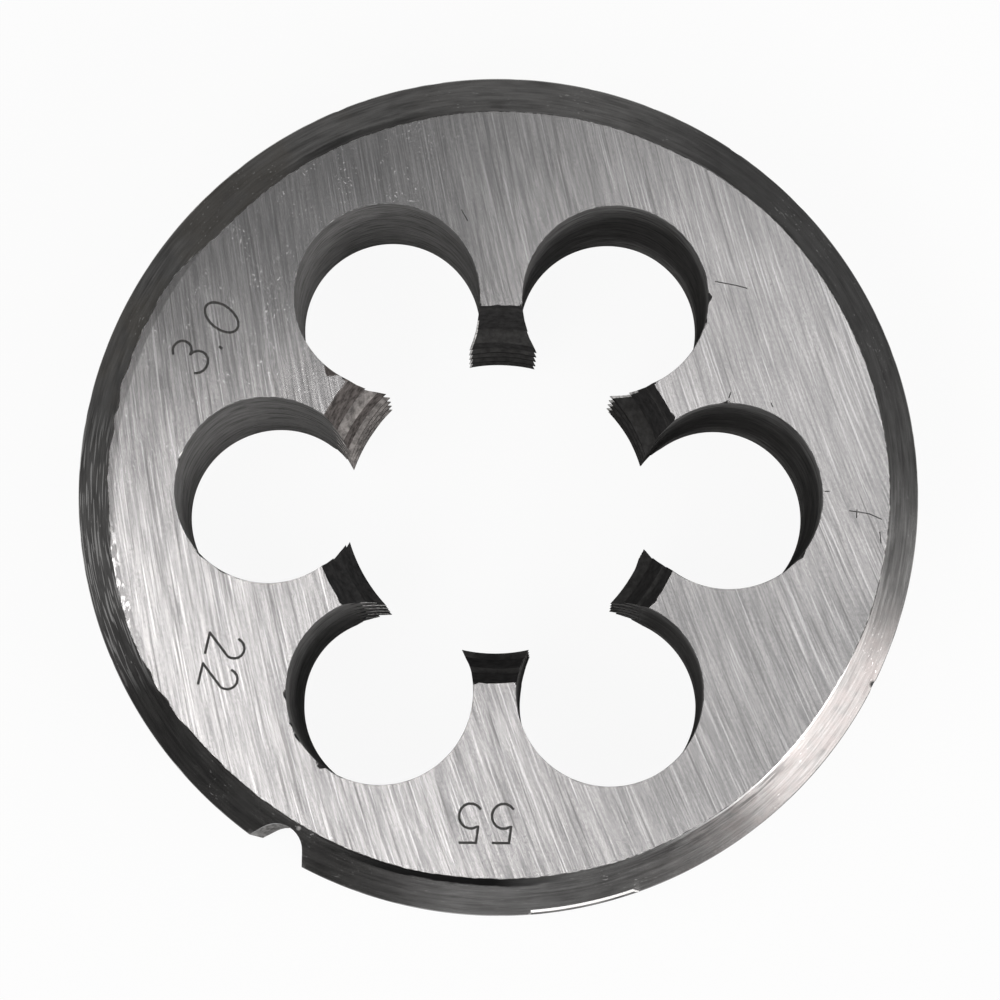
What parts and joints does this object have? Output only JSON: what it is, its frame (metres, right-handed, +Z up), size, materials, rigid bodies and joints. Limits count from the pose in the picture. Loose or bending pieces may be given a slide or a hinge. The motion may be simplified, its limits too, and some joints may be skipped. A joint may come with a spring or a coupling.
{
  "type": "round threading die",
  "caption": "Thick round steel disc with a ring of clearance holes that break into a toothed bore, which cuts an outside thread on a rod, and a V groove across its rim.",
  "frame": {"origin": "centre of the back face, on which the die lies", "axes": "+Z up the die's axis to the front face, +X towards one clearance hole"},
  "size_m": [0.055, 0.055, 0.022],
  "materials": {
    "tool_steel": "ground faces with straight grinding lines, turned rim, dark drilled holes"
  },
  "bodies": {
    "root": {"threading_die": "tool_steel"}
  },
  "joints": []
}
